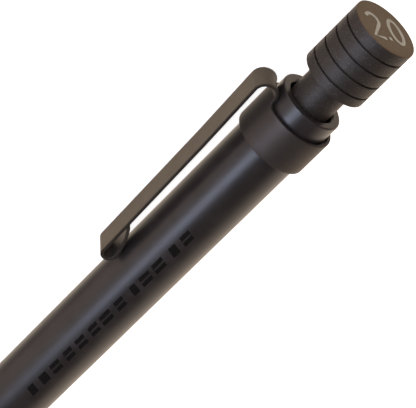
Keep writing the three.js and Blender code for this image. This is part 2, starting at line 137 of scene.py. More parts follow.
FACING = Matrix.Rotation(AROUND_FROM_CLIP, 3, TO_KNOB) @ TO_CLIP
SIDEWAYS = FACING.cross(TO_KNOB)
aim = OWN @ Vector((0, 0, knob.rear - AIM_BELOW_KNOB))
to_camera = math.cos(TIPPED_TO_KNOB) * FACING + math.sin(TIPPED_TO_KNOB) * TO_KNOB
along_view = math.cos(TIPPED_TO_KNOB) * TO_KNOB - math.sin(TIPPED_TO_KNOB) * FACING
up = math.cos(ROLL) * along_view + math.sin(ROLL) * SIDEWAYS
right = up.cross(to_camera)

camera_data = bpy.data.cameras.new("camera")
camera_data.lens = LENS
camera = bpy.data.objects.new("camera", camera_data)
bpy.context.scene.collection.objects.link(camera)
looking = Matrix((right, up, to_camera)).transposed().to_4x4()
camera.matrix_world = Matrix.Translation(aim + CAMERA_DISTANCE * MM * to_camera) @ looking
bpy.context.scene.camera = camera
print("camera at", [round(value / MM) for value in camera.matrix_world.translation], "mm")

# %% [markdown]
# ## Floor and light
# A black pencil shows its shape by what it reflects, so the light is arranged for that. The
# pencil lies on a pale light table, whose glow leaves hardly any shadow. Gloss doesn't mirror
# the table, so that the metal stays dark. A backdrop stands around it, which only the camera
# sees. Both are made from the same circle of points, and both wear one glowing paint.

# %% Floor and backdrop
STAGE_RADIUS = 6.0
BACKDROP_HEIGHT = 3.0
STAGE_FACETS = 64
STAGE_PAINT = (0.93, 0.925, 0.915, 1)
STAGE_GLOW = 0.97

stage_paint = bpy.data.materials.new("stage_paint")
stage_paint.use_nodes = True
stage_shader = stage_paint.node_tree.nodes["Principled BSDF"]
stage_shader.inputs["Base Color"].default_value = STAGE_PAINT
stage_shader.inputs["Roughness"].default_value = 1.0
stage_shader.inputs["Specular IOR Level"].default_value = 0.0
stage_shader.inputs["Emission Color"].default_value = STAGE_PAINT
stage_shader.inputs["Emission Strength"].default_value = STAGE_GLOW


def stage_circle(shape, height):
    edge = Vector((STAGE_RADIUS, 0, height))
    angles = [2 * math.pi * step / STAGE_FACETS for step in range(STAGE_FACETS)]
    return [shape.verts.new(Matrix.Rotation(angle, 3, "Z") @ edge) for angle in angles]


def staged(name, shape):
    mesh = bpy.data.meshes.new(name)
    shape.to_mesh(mesh)
    shape.free()
    mesh.materials.append(stage_paint)
    piece = bpy.data.objects.new(name, mesh)
    bpy.context.scene.collection.objects.link(piece)
    piece.visible_glossy = False
    return piece


def pale_floor():
    shape = bmesh.new()
    shape.faces.new(stage_circle(shape, 0))
    staged("floor", shape)


def pale_backdrop():
    shape = bmesh.new()
    low = stage_circle(shape, 0)
    high = stage_circle(shape, BACKDROP_HEIGHT)
    for step in range(STAGE_FACETS):
        after = (step + 1) % STAGE_FACETS
        shape.faces.new([low[step], high[step], high[after], low[after]])
    wall = staged("backdrop", shape)
    wall.visible_diffuse = False
    wall.visible_shadow = False


pale_floor()
pale_backdrop()
print("stage:", 2 * STAGE_RADIUS, "m across,", BACKDROP_HEIGHT, "m high")

# %% [markdown]
# ## Long lights
# Every reflection on a tube comes from a line along it, so the lights are long boxes parallel
# to the pencil. A cool strip beside the viewer draws the highlight, a warm one shines up through
# the table, and one behind rims the far side. They are longer than the pencil, because a camera
# that looks along it sees lights further off. The strip is moved ahead, so that its highlight
# fades towards the writing end. A wide box overhead only softens the shadows.

# %% Lights


def softbox(name, direction, distance, along, across, watts, colour, mirrored=True, ahead=0):
    """A rectangular light parallel to the pencil, whose sizes are in millimetres.
    It can be moved ahead along the pencil, towards the knob."""
    light = bpy.data.lights.new(name, "AREA")
    light.shape = "RECTANGLE"
    light.size = along * MM
    light.size_y = across * MM
    light.energy = watts
    light.color = colour
    lamp = bpy.data.objects.new(name, light)
    bpy.context.scene.collection.objects.link(lamp)
    turned_to = Matrix((TO_KNOB, direction.cross(TO_KNOB), direction)).transposed().to_4x4()
    middle = aim + distance * MM * direction + ahead * MM * TO_KNOB
    lamp.matrix_world = Matrix.Translation(middle) @ turned_to
    lamp.visible_glossy = mirrored
    lamp.visible_camera = False
    return lamp


def seen_in(line):
    """The direction of a light whose reflection runs along this line of the barrel."""
    return math.cos(2 * line) * FACING + math.sin(2 * line) * SIDEWAYS


STRIP_LINE = math.radians(5.5)
FILL_LINE = math.radians(29)
RIM_LINE = math.radians(-46)
OVERHEAD = Vector((0, 0.25, 1)).normalized()
NEAR = 370
FAR = 900
LONG = 1800
WIDE = 1400
STRIP_AHEAD = 640
COOL = (0.69, 0.77, 1.0)
WARM = (1.0, 0.8, 0.69)
NEUTRAL = (1.0, 0.95, 0.9)
lamps = [
    softbox("strip", seen_in(STRIP_LINE), NEAR, LONG, 150, watts=4.6, colour=COOL, ahead=STRIP_AHEAD),
    softbox("fill", seen_in(FILL_LINE), NEAR, LONG, 525, watts=1.8, colour=WARM),
    softbox("rim", seen_in(RIM_LINE), NEAR, LONG, 200, watts=0.45, colour=WARM),
    softbox("overhead", OVERHEAD, FAR, WIDE, WIDE, watts=3.5, colour=NEUTRAL, mirrored=False),
]
print("lights:", ", ".join(lamp.name for lamp in lamps))

# %% [markdown]
# ## Surroundings
# The surroundings are pale behind the pencil, which makes its outline glow, and dim on the
# viewer's side. The change follows a direction, which a dot product measures: 1 straight behind
# the pencil, 0 at its sides. A Mix node's colour sockets share their names with its other
# sockets, so they are asked for by number.

# %% Surroundings
DIM = 0.1
PALE = 1.4
BEHIND_LEAN = 0.17
PALE_STARTS = 0.25
PALE_FULL = 0.85
COLOUR_A = 6
COLOUR_B = 7
COLOUR_OUT = 2
WARM_WHITE = (1.0, 0.83, 0.67)
WARM_GREY = (1.0, 0.86, 0.76)


def surroundings():
    world = bpy.data.worlds.new("studio")
    world.use_nodes = True
    bpy.context.scene.world = world
    nodes = world.node_tree.nodes
    links = world.node_tree.links
    coordinates = nodes.new("ShaderNodeTexCoord")
    behind = nodes.new("ShaderNodeVectorMath")
    behind.operation = "DOT_PRODUCT"
    behind.inputs[1].default_value = (-to_camera - BEHIND_LEAN * SIDEWAYS).normalized()
    ramp = nodes.new("ShaderNodeMapRange")
    ramp.interpolation_type = "SMOOTHSTEP"
    ramp.inputs["From Min"].default_value = PALE_STARTS
    ramp.inputs["From Max"].default_value = PALE_FULL
    tint = nodes.new("ShaderNodeMix")
    tint.data_type = "RGBA"
    tint.inputs[COLOUR_A].default_value = [DIM * part for part in WARM_GREY] + [1]
    tint.inputs[COLOUR_B].default_value = [PALE * part for part in WARM_WHITE] + [1]
    links.new(coordinates.outputs["Generated"], behind.inputs[0])
    links.new(behind.outputs["Value"], ramp.inputs["Value"])
    links.new(ramp.outputs["Result"], tint.inputs["Factor"])
    links.new(tint.outputs[COLOUR_OUT], nodes["Background"].inputs["Color"])


surroundings()
bpy.context.scene.view_settings.view_transform = "Standard"
print(f"surroundings: {PALE / DIM:.0f} times paler behind the pencil")

# %% [markdown]
# ## Writing shaders as sums
# A finish is a small calculation repeated at every point of a surface. Node trees say that with
# boxes and wires, which are slow to read. Here one class wraps a node's output, and Python's
# own signs add the Math nodes: 1 - mask really makes a Subtract node. A second class holds one
# material and has a single method that makes any other node. Its textures are placed in the
# pencil's own millimetres, so a noise can be stretched along the pencil or around it.

# %% Amounts


class Amount:
    """A number that the shader works out over the surface."""

    def __init__(self, finish, socket):
        self.finish = finish
        self.socket = socket

    def maths(self, operation, first, second=0.0):
        return self.finish.node("ShaderNodeMath", {"operation": operation}, {0: first, 1: second})

    def __add__(self, other):
        return self.maths("ADD", self, other)

    __radd__ = __add__

    def __sub__(self, other):
        return self.maths("SUBTRACT", self, other)

    def __rsub__(self, other):
        return self.maths("SUBTRACT", other, self)

    def __mul__(self, other):
        return self.maths("MULTIPLY", self, other)

    __rmul__ = __mul__

    def __truediv__(self, other):
        return self.maths("DIVIDE", self, other)

    def __gt__(self, other):
        return self.maths("GREATER_THAN", self, other)

    def __lt__(self, other):
        return self.maths("LESS_THAN", self, other)

    def __abs__(self):
        return self.maths("ABSOLUTE", self)

    def fraction(self):
        return self.maths("FRACT", self)

    def angle_from(self, other):
        return self.maths("ARCTAN2", self, other)


# %% Finishes


class Finish:
    """One material, whose textures are placed in the pencil's own millimetres."""

    def __init__(self, name, **fixed):
        self.material = bpy.data.materials.new(name)
        self.material.use_nodes = True
        self.tree = self.material.node_tree
        self.shader = self.tree.nodes["Principled BSDF"]
        for socket, value in fixed.items():
            self.shader.inputs[socket.replace("_", " ")].default_value = value
        here = self.node("ShaderNodeTexCoord", output="Object")
        self.across = self.distance(here, ACROSS)
        self.outward = self.distance(here, TO_CLIP)
        self.along = self.distance(here, TO_KNOB)

    def node(self, kind, settings=None, inputs=None, output=0):
        """Adds a node. Its settings come first, then the values or links of its sockets."""
        made = self.tree.nodes.new(kind)
        for setting, value in (settings or {}).items():
            setattr(made, setting, value)
        for socket, value in (inputs or {}).items():
            self.feed(made.inputs[socket], value)
        return Amount(self, made.outputs[output])

    def feed(self, socket, value):
        if isinstance(value, Amount):
            self.tree.links.new(value.socket, socket)
        else:
            socket.default_value = value

    def set(self, name, value):
        self.feed(self.shader.inputs[name], value)

    def distance(self, here, direction):
        """How far a point is from the sleeve's mouth in one direction, in millimetres."""
        dot = {"operation": "DOT_PRODUCT"}
        reach = self.node("ShaderNodeVectorMath", dot, {0: here, 1: direction / MM}, "Value")
        return reach - MOUTH.dot(direction) / MM

    def place(self, across=1.0, outward=1.0, along=1.0):
        """Own coordinates as one vector, each stretched by a factor."""
        parts = {0: self.across * across, 1: self.outward * outward, 2: self.along * along}
        return self.node("ShaderNodeCombineXYZ", None, parts)

    def noise(self, per_mm, detail=2.0, **stretch):
        texture = {"Vector": self.place(**stretch), "Scale": per_mm, "Detail": detail}
        return self.node("ShaderNodeTexNoise", None, texture)

    def between(self, amount, low, high):
        """Turns the middle of a noise into a soft mask from 0 to 1."""
        limits = {"Value": amount, "From Min": low, "From Max": high}
        return self.node("ShaderNodeMapRange", {"interpolation_type": "SMOOTHSTEP"}, limits)

    def tint(self, mask, first, second):
        """One colour where the mask is 0, the other where it is 1."""
        colours = {0: mask, COLOUR_A: first, COLOUR_B: second}
        return self.node("ShaderNodeMix", {"data_type": "RGBA"}, colours, COLOUR_OUT)

    def grain(self, height, strength, depth):
        """Relief that only the light sees. Its depth is in millimetres."""
        relief = {"Height": height, "Strength": strength, "Distance": depth * MM}
        self.set("Normal", self.node("ShaderNodeBump", None, relief, "Normal"))


def shade(red, green, blue):
    return (red, green, blue, 1.0)


FINISHES = {}

# %% [markdown]
# ## Black anodised barrel
# The barrel and grip are aluminium tubes dyed black. Under a clear oxide layer the dye looks
# almost like satin plastic: dark all over, with a soft gloss and a faint warmth. A metallic
# shader would mirror too much, so this is a dark, fairly smooth surface with a fine blasted
# grain and slow changes of gloss from handling. A row of plain bars stands where such pencils
# carry print. They are only darker and glossier than the rest, so they belong in the finish. A
# random number for each bar gives it a length, and parts some of the bars with a slit.

# %% Black anodised
BAR_COUNT = 13
BAR_PITCH = 2.8
SHORTEST_BAR = 0.42
LONGEST_BAR = 0.8
WHOLE_BARS = 0.4
BAR_SLANT = 0.3
BARS_REAR = 106.2
BARS_FROM_CLIP = math.radians(75.8)
BARS_HALF_HEIGHT = 0.155
SLIT_HALF_HEIGHT = 0.03


def printed_bars(finish):
    """1 on the bars, 0 between them. Heights across the row are angles around the barrel."""
    from_middle = finish.across.angle_from(finish.outward) + BARS_FROM_CLIP
    slanted = (BARS_REAR - finish.along) + BAR_SLANT * from_middle * barrel.radius
    count = slanted / BAR_PITCH
    number = count - count.fraction()
    chance = finish.node("ShaderNodeTexWhiteNoise", {"noise_dimensions": "1D"}, {"W": number})
    on_bar = count.fraction() < SHORTEST_BAR + (LONGEST_BAR - SHORTEST_BAR) * chance
    in_row = (count > 0) * (count < BAR_COUNT)
    slit = (abs(from_middle) < SLIT_HALF_HEIGHT) * (chance > WHOLE_BARS)
    return (abs(from_middle) < BARS_HALF_HEIGHT) * in_row * on_bar * (1 - slit)


def black_anodised(name, with_bars):
    finish = Finish(name, Metallic=0.0, Specular_IOR_Level=0.62)
    blasted = finish.noise(9.0, detail=3.0)
    handled = finish.between(finish.noise(0.35, detail=4.0), 0.35, 0.7)
    colour = finish.tint(handled, shade(0.014, 0.0104, 0.0094), shade(0.02, 0.0148, 0.0134))
    gloss = 0.30 + 0.05 * handled + 0.05 * blasted
    if with_bars:
        bars = printed_bars(finish)
        colour = finish.tint(bars, colour, shade(0.0025, 0.0022, 0.0022))
        gloss = gloss * (1 - bars) + 0.22 * bars
    finish.set("Base Color", colour)
    finish.set("Roughness", gloss)
    finish.grain(blasted, 0.25, 0.012)
    return finish.material


FINISHES["black_anodised"] = black_anodised("black_anodised", with_bars=False)
printed = black_anodised("black_anodised_printed", with_bars=True)
print("bars run over", round(BAR_COUNT * BAR_PITCH, 1), "mm of the barrel")

# %% [markdown]
# ## Dark grey anodised knob, stem and nose
# These are bead blasted before they are dyed, so they are matt, with tiny bright flecks where
# the blasting left sharp edges. The flecks are real in roughness and relief, and their lighter
# colour is painted glints. The lathe's rings still show faintly. The knob's end is painted
# browner than its sides, a painted reflection of the warm light from behind.

# %% Dark anodised
# Where the painted reflection on the knob's end starts and where it is full, below the end.
END_REFLECTION_STARTS = 0.12
END_REFLECTION_FULL = 0.04


def dark_anodised():
    finish = Finish("dark_anodised", Metallic=0.35, Specular_IOR_Level=0.5)
    blasted = finish.noise(6.0, detail=4.0)
    turned_rings = finish.noise(1.0, detail=2.0, across=0.4, outward=0.4, along=9.0)
    # The flecks are real grain in roughness and relief, and their lighter colour is painted glints.
    flecks_and_glints = finish.between(finish.noise(5.5, detail=1.0), 0.6, 0.72)
    # Painted reflection: the knob's end face is painted browner, standing in for warm light from behind.
    end_reflection_span = (knob.rear - END_REFLECTION_STARTS, knob.rear - END_REFLECTION_FULL)
    end_painted_reflection = finish.between(finish.along, *end_reflection_span)
    base = finish.tint(turned_rings, shade(0.022, 0.0165, 0.0125), shade(0.037, 0.0275, 0.021))
    base = finish.tint(flecks_and_glints * 0.5, base, shade(0.1, 0.09, 0.08))
    finish.set("Base Color", finish.tint(end_painted_reflection, base, shade(0.098, 0.056, 0.022)))
    finish.set("Roughness", 0.44 + 0.12 * blasted - 0.16 * flecks_and_glints)
    finish.grain(blasted + 0.3 * turned_rings + 0.4 * flecks_and_glints, 0.6, 0.04)
    return finish.material


FINISHES["dark_anodised"] = dark_anodised()
print("the knob's end is shaded from", round(knob.rear - END_REFLECTION_STARTS, 2), "mm up")

# %% [markdown]
# ## Coated clip
# The clip is a folded steel strip with a matt, warm grey coating, which has a fine, even grain.
# The arm is painted lighter than the band: painted light on the arm and painted shade on the
# band, so the colour changes over the fold. The arm's cut edges are painted darker than its faces.

# %% Clip coating
clip_arm = Measure("clip_arm")
clip_band = Measure("clip_band")
CUT_EDGE = 0.1
# Where the painted light on the arm starts and where it is full, out from the band's bore.
LIT_FROM = 0.6
LIT_TO = 2.4


def clip_coating():
    finish = Finish("clip_coating", Metallic=0.6, Specular_IOR_Level=0.5)
    grain = finish.noise(8.0, detail=3.0)
    cloudy = finish.noise(0.5, detail=3.0)
    band_painted_shade = finish.tint(cloudy, shade(0.044, 0.035, 0.029), shade(0.058, 0.046, 0.038))
    arm_painted_light = finish.tint(cloudy, shade(0.115, 0.089, 0.06), shade(0.145, 0.113, 0.078))
    # Painted light and shade: past the fold the arm is painted lighter, as if lit from behind, and the band
    # darker, as if in shade.
    lit_span = (clip_band.bore + LIT_FROM, clip_band.bore + LIT_TO)
    painted_light_past_fold = finish.between(finish.outward, *lit_span)
    base = finish.tint(painted_light_past_fold, band_painted_shade, arm_painted_light)
    cut_edge = painted_light_past_fold * (abs(finish.across) > clip_arm.half_width - CUT_EDGE)
    finish.set("Base Color", finish.tint(cut_edge * 0.75, base, shade(0.016, 0.013, 0.011)))
    finish.set("Roughness", 0.42 + 0.15 * grain)
    finish.grain(grain, 0.3, 0.015)
    return finish.material


FINISHES["clip_metal"] = clip_coating()
print("clip strip:", round(2 * clip_arm.half_width, 2), "mm wide")

# %% [markdown]
# ## Bare metals, plastics, rubber and lead
# Most of these pieces are inside, or show only as a rim. They still get a finish of their own:
# turned metal has fine rings around the axis, moulded nylon a faint mottling, rubber and vinyl
# a dusty roughness, and graphite the sheen of pressed grains. One function serves the turned
# metals, and one serves the soft and moulded materials, because only their numbers differ.

# %% Turned metals


def turned_metal(name, darker, lighter, gloss):
    finish = Finish(name, Metallic=1.0)
    rings = finish.noise(1.0, detail=3.0, across=0.3, outward=0.3, along=14.0)
    smudges = finish.noise(0.6, detail=3.0)
    finish.set("Base Color", finish.tint(rings * smudges * 1.6, darker, lighter))
    finish.set("Roughness", gloss + 0.14 * rings + 0.08 * smudges)
    finish.grain(rings, 0.3, 0.01)
    return finish.material


FINISHES["brass"] = turned_metal(
    "brass", shade(0.42, 0.27, 0.09), shade(0.75, 0.56, 0.25), 0.2)
FINISHES["bright_steel"] = turned_metal(
    "bright_steel", shade(0.36, 0.36, 0.37), shade(0.66, 0.66, 0.67), 0.2)
print("turned metals: brass and bright steel")

# %% Moulded and soft materials


def dull(name, darker, lighter, gloss, relief, per_mm=4.0):
    finish = Finish(name, Metallic=0.0)
    mottle = finish.noise(per_mm, detail=4.0)
    dust = finish.between(finish.noise(0.8, detail=4.0), 0.4, 0.75)
    finish.set("Base Color", finish.tint(0.6 * mottle + 0.4 * dust, darker, lighter))
    finish.set("Roughness", gloss + 0.1 * mottle)
    finish.grain(mottle, 0.4, relief)
    return finish.material


FINISHES["black_nylon"] = dull(
    "black_nylon", shade(0.012, 0.012, 0.012), shade(0.026, 0.026, 0.027), 0.5, 0.01)
FINISHES["black_rubber"] = dull(
    "black_rubber", shade(0.01, 0.01, 0.01), shade(0.03, 0.029, 0.028), 0.72, 0.02)
FINISHES["tube_plastic"] = dull(
    "tube_plastic", shade(0.2, 0.21, 0.22), shade(0.3, 0.31, 0.32), 0.3, 0.004, 1.0)
FINISHES["white_vinyl"] = dull(
    "white_vinyl", shade(0.7, 0.69, 0.66), shade(0.84, 0.83, 0.81), 0.7, 0.03)
FINISHES["graphite"] = dull(
    "graphite", shade(0.03, 0.03, 0.032), shade(0.075, 0.075, 0.08), 0.34, 0.012, 12.0)
size_mark_paint = dull(
    "size_mark_paint", shade(0.25, 0.215, 0.15), shade(0.31, 0.27, 0.195), 0.6, 0.004, 10.0)

# %% [markdown]
# ## Finishes on the CAD pieces
# Pieces deep inside keep their CAD meshes. They only need their plain paint changed for the
# finish that the record names for them.

# %% Finishes on the CAD pieces
for entry in frame["record"]["subparts"]:
    slots = frame["nodes"][entry["node"]].data.materials
    slots.clear()
    slots.append(FINISHES[entry["material_slot"]])
print("finishes:", ", ".join(sorted(FINISHES)))

# %% [markdown]
# ## Turning on a lathe
# Nearly every piece of a pencil is turned, so its shape is one outline spun about the axis.
# Real edges are never sharp. Each corner of the outline gets its own small radius, drawn as an
# arc, and a point just before and after the arc keeps the flat faces flat when they are
# shaded smoothly. Two radii come up often: a crisp one for an edge that is only broken, and a
# soft one for an edge that fingers meet.

# %% Outlines with rounded corners
ARC_STEPS = 5
HOLD = 0.03
CRISP = 0.05
SOFT = 0.1


def rounded(corners):
    """Takes (radius, height, rounding) corners of a closed outline and rounds them."""
    outline = []
    for index, (radius, height, rounding) in enumerate(corners):
        corner = Vector((radius, height))
        if rounding == 0:
            outline.append(corner)
            continue
        back = (Vector(corners[index - 1][:2]) - corner).normalized()
        ahead = (Vector(corners[(index + 1) % len(corners)][:2]) - corner).normalized()
        half = back.angle(ahead) / 2
        reach = rounding / math.tan(half)
        centre = corner + (back + ahead).normalized() * rounding / math.sin(half)
        start = corner + back * reach - centre
        end = corner + ahead * reach - centre
        outline.append(corner + back * (reach + HOLD))
        for step in range(ARC_STEPS + 1):
            share = step / ARC_STEPS
            outline.append(centre + start.lerp(end, share).normalized() * rounding)
        outline.append(corner + ahead * (reach + HOLD))
    return outline


washer = [(1, 0, SOFT), (2, 0, SOFT), (2, 1, SOFT), (1, 1, SOFT)]
print("a washer's four corners become", len(rounded(washer)), "points")

# %% [markdown]
# ## From outlines to meshes
# A spun outline is a stack of rings of points with faces between each ring and the next. Making
# the rings by hand, rather than with a Screw modifier, lets a single ring be dented later, for
# a knurl or a thread. Each mesh is drawn in own millimetres and then placed in the world.

# %% Meshes from rings
SHARP = math.radians(32)
FACETS = 96
FINE_FACETS = 128
SMALL_FACETS = 64


def placed(name, shape):
    """Turns a mesh drawn in own millimetres into a world object with smooth shading."""
    bmesh.ops.recalc_face_normals(shape, faces=shape.faces)
    mesh = bpy.data.meshes.new(name)
    shape.to_mesh(mesh)
    shape.free()
    mesh.transform(OWN)
    mesh.shade_smooth()
    mesh.set_sharp_from_angle(angle=SHARP)
    piece = bpy.data.objects.new(name, mesh)
    bpy.context.scene.collection.objects.link(piece)
    return piece


def bridge(shape, near, far):
    """Faces between two rings. A ring may also be a single point on the axis."""
    if len(near) == 1 and len(far) == 1:
        return
    count = max(len(near), len(far))
    for step in range(count):
        after = (step + 1) % count
        corners = [near[step % len(near)], near[after % len(near)]]
        corners += [far[after % len(far)], far[step % len(far)]]
        shape.faces.new(list(dict.fromkeys(corners)))


def ring(shape, radius, height, facets, relief=None):
    """One ring of points. The relief, if any, gives the radius lost at each angle."""
    if radius == 0:
        return [shape.verts.new((0, 0, height))]
    points = []
    for step in range(facets):
        angle = 2 * math.pi * step / facets
        reach = radius - (relief(angle, height) if relief else 0)
        points.append(shape.verts.new((reach * math.cos(angle), reach * math.sin(angle), height)))
    return points


def turned(name, corners, facets=FACETS):
    shape = bmesh.new()
    rings = [ring(shape, radius, height, facets) for radius, height in rounded(corners)]
    for near, far in zip(rings, rings[1:] + rings[:1]):
        bridge(shape, near, far)
    return placed(name, shape)


# %% Pieces that stand for CAD nodes


def fitted(piece, slot, body, *nodes, finish=None):
    """Gives a piece its finish and body, and lets it stand for its CAD nodes."""
    piece.data.materials.append(finish or FINISHES[slot])
    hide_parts(*nodes)
    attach(piece, body)
    print(f"{piece.name}: {len(piece.data.polygons)} faces")


# %% [markdown]
# ## Barrel
# The barrel's tube ends in a flat rim around the stem, with a soft outer edge and a small
# chamfer into the bore. The bore isn't plain: it is wider where the guide bush sits, so that
# part is remade from the bush's size.

# %% Barrel
bush = Measure("guide_bush")
core = Measure("grip_core")
PRESS_FIT = 0.04
LIP_GAP = 0.3
LIP_CHAMFER = 0.2
LIP_EDGE = 0.18
CHAMFER_EDGE = 0.04
BUSH_ROOM = 0.1
lip_bore = stem.radius + LIP_GAP
bush_bore = bush.radius + PRESS_FIT
main_bore = core.radius + PRESS_FIT

fitted(
    turned("barrel_tube", [
        (main_bore, barrel.front, CRISP),
        (barrel.radius, barrel.front, SOFT),
        (barrel.radius, barrel.rear, LIP_EDGE),
        (lip_bore + LIP_CHAMFER, barrel.rear, CHAMFER_EDGE),
        (lip_bore, barrel.rear - LIP_CHAMFER, CHAMFER_EDGE),
        (lip_bore, bush.rear + BUSH_ROOM, 0),
        (bush_bore, bush.rear + BUSH_ROOM, 0),
        (bush_bore, bush.front - BUSH_ROOM, 0),
        (main_bore, bush.front - BUSH_ROOM, 0),
    ], FINE_FACETS),
    "black_anodised", "barrel", "barrel", finish=printed,
)

# %% [markdown]
# ## Push knob and stem
# The knob is a short cylinder with four thin grooves, cut for the thumb to hold. The grooves
# are real cuts with slightly broken edges. The stem below it is a thin tube, and its wall is
# thicker inside the knob, where it presses on the lead tube.

# %% Knob
GROOVES = 4
GROOVE_PITCH = 2.04
GROOVE_INSET = 1.78
GROOVE_HALF = 0.12
GROOVE_DEPTH = 0.3
GROOVE_EDGE = 0.07
KNOB_EDGE = 0.09
KNOB_END_WALL = 2.1


def knob_corners():
    socket = stem.radius + PRESS_FIT
    socket_end = knob.rear - KNOB_END_WALL
    corners = [
        (0, socket_end, 0),
        (socket, socket_end, 0),
        (socket, knob.front, CRISP),
        (knob.radius, knob.front, KNOB_EDGE),
    ]
    for groove in reversed(range(GROOVES)):
        middle = knob.rear - GROOVE_INSET - groove * GROOVE_PITCH
        for side, depth in ((-1, 0), (-1, GROOVE_DEPTH), (1, GROOVE_DEPTH), (1, 0)):
            edge = GROOVE_EDGE if depth == 0 else 0
            corners.append((knob.radius - depth, middle + side * GROOVE_HALF, edge))
    return corners + [(knob.radius, knob.rear, KNOB_EDGE), (0, knob.rear, 0)]


fitted(turned("knob", knob_corners(), FINE_FACETS), "dark_anodised", "push_cap", "push_knob")

# %% Stem
STEM_WALL = 0.25
STEM_SHOULDER_WALL = 0.6
STEM_EDGE = 0.08
STEM_BORE_EDGE = 0.04
FACE_GAP = 0.05
tube = Measure("lead_tube")

fitted(
    turned("stem", [
        (stem.radius - STEM_WALL, stem.front, STEM_BORE_EDGE),
        (stem.radius, stem.front, STEM_EDGE),
        (stem.radius, stem.rear, CRISP),
        (stem.radius - STEM_SHOULDER_WALL, stem.rear, 0),
        (stem.radius - STEM_SHOULDER_WALL, tube.rear + FACE_GAP, 0),
        (stem.radius - STEM_WALL, tube.rear + FACE_GAP, 0),
    ]),
    "dark_anodised", "push_cap", "push_stem",
)

# %% [markdown]
# ## The lead size on the knob
# Pencils of this kind say on the knob which lead they take: 2.0 millimetres. It is printed
# with one thin stroke, so each figure here is a centre line with a flat ribbon along it. The
# ribbon stands a hair above the knob's end, and its short walls go down into it.

# %% Figures
FIGURE_HEIGHT = 3.9
FIGURE_WIDTH = 2.0
FIGURE_GAP = 0.85
STROKE = 0.52
MARK_PROUD = 0.012
MARK_TURN = math.radians(50)
CROWN_START = 160
CROWN_END = -35


def arc(centre, radii, start, end, steps=16):
    """Points on part of an ellipse, between two angles in degrees."""
    angles = [math.radians(start + (end - start) * step / steps) for step in range(steps + 1)]
    return [(centre[0] + radii[0] * math.cos(a), centre[1] + radii[1] * math.sin(a)) for a in angles]


def figure_two(left):
    half = FIGURE_WIDTH / 2
    crown = arc((left + half, FIGURE_HEIGHT - half), (half, half), CROWN_START, CROWN_END)
    return crown + [(left, 0), (left + FIGURE_WIDTH, 0)]


def figure_nought(left):
    half = FIGURE_WIDTH / 2
    return arc((left + half, FIGURE_HEIGHT / 2), (half, FIGURE_HEIGHT / 2), 0, 360, steps=40)


# %% Ribbons
SAME_POINT = 0.001


def ribbon(shape, line, place):
    """A flat strip along a line, with short walls down into the knob."""
    closed = (Vector(line[0]) - Vector(line[-1])).length < SAME_POINT
    points = [Vector(point) for point in (line[:-1] if closed else line)]
    rails = []
    for index, point in enumerate(points):
        before = points[index - 1] if closed or index else point
        after = points[(index + 1) % len(points)] if closed or index + 1 < len(points) else point
        along = (after - before).normalized()
        side = Vector((-along.y, along.x)) * STROKE / 2
        left = point + side
        right = point - side
        rails.append([place(left, 1), place(right, 1), place(right, -1), place(left, -1)])
    sections = [[shape.verts.new(corner) for corner in rail] for rail in rails]
    pairs = list(zip(sections, sections[1:]))
    if closed:
        pairs.append((sections[-1], sections[0]))
    else:
        shape.faces.new(sections[0])
        shape.faces.new(sections[-1])
    for near, far in pairs:
        bridge(shape, near, far)


# %% The mark on the knob


def size_mark():
    """The figures, read from a direction that is turned a little from the knob's back."""
    shape = bmesh.new()
    total = 2 * FIGURE_WIDTH + 2 * FIGURE_GAP
    back_of_knob = Vector((-FACING.dot(ACROSS), -FACING.dot(TO_CLIP)))
    right_of_knob = Vector((-SIDEWAYS.dot(ACROSS), -SIDEWAYS.dot(TO_CLIP)))
    reading = math.cos(MARK_TURN) * right_of_knob + math.sin(MARK_TURN) * back_of_knob
    rising = -math.sin(MARK_TURN) * right_of_knob + math.cos(MARK_TURN) * back_of_knob

    def place(point, side):
        flat = reading * (point.x - total / 2) + rising * (point.y - FIGURE_HEIGHT / 2)
        return (flat.x, flat.y, knob.rear + side * MARK_PROUD)

    ribbon(shape, figure_two(0), place)
    dot = FIGURE_WIDTH + FIGURE_GAP
    ribbon(shape, [(dot, 0), (dot, STROKE)], place)
    ribbon(shape, figure_nought(dot + FIGURE_GAP), place)
    return placed("lead_size_mark", shape)


fitted(size_mark(), "dark_anodised", "push_cap", finish=size_mark_paint)

# %% [markdown]
# ## The folded clip
# Band, neck, fold, arm and loop are one strip of sheet metal, cut flat and then bent. The mesh
# is made the same way. The flat blank is a band with a tab, whose root has a small rounded
# corner on each side. Each point of the blank is then carried along the bent middle line:
# around the barrel in the band, over the fold, down the arm and round the loop. Solidify gives
# the sheet its thickness and Bevel breaks its cut edges. CAD splits the clip at the fold,
# where its spring joint is.

# %% The clip's sizes
SHEET = 0.44
BAND_HEIGHT = 5.36
LOOP_RADIUS = 0.92
LOOP_RETURN = 4.9
LOOP_BULGE = 2.1
LOOP_CLEAR = 0.02
BEND_DOWN = 10.8
BEND_IN = 0.4

fold_radius = (clip_arm.outside - clip_band.bore - SHEET) / 2
fold_z = clip_band.rear - fold_radius - SHEET / 2
band_middle = clip_band.bore + SHEET / 2
band_top = clip_band.front + BAND_HEIGHT
arm_out = clip_arm.outside - SHEET / 2
arm_end = clip_arm.inside + SHEET / 2 + 2 * LOOP_RADIUS
loop_z = clip_arm.front + LOOP_RADIUS + SHEET / 2
print(f"clip: fold {fold_radius:.2f} mm, loop {LOOP_RADIUS:.2f} mm in radius")

# %% The clip's middle line
FOLD_STEPS = 24
LOOP_STEPS = 20
RETURN_STEPS = 10
UPPER_ARM_STEPS = 6
LOWER_ARM_STEPS = 10


def half_turn(middle, radius, start, steps):
    """Points of a half circle in the plane of the clip's line, clockwise from an angle."""
    return arc(middle, (radius, radius), start, start - 180, steps)


def stretch(start, end, steps):
    """Points on a straight stretch, without its first one."""
    shares = [step / steps for step in range(1, steps + 1)]
    return [tuple(Vector(start).lerp(Vector(end), share)) for share in shares]


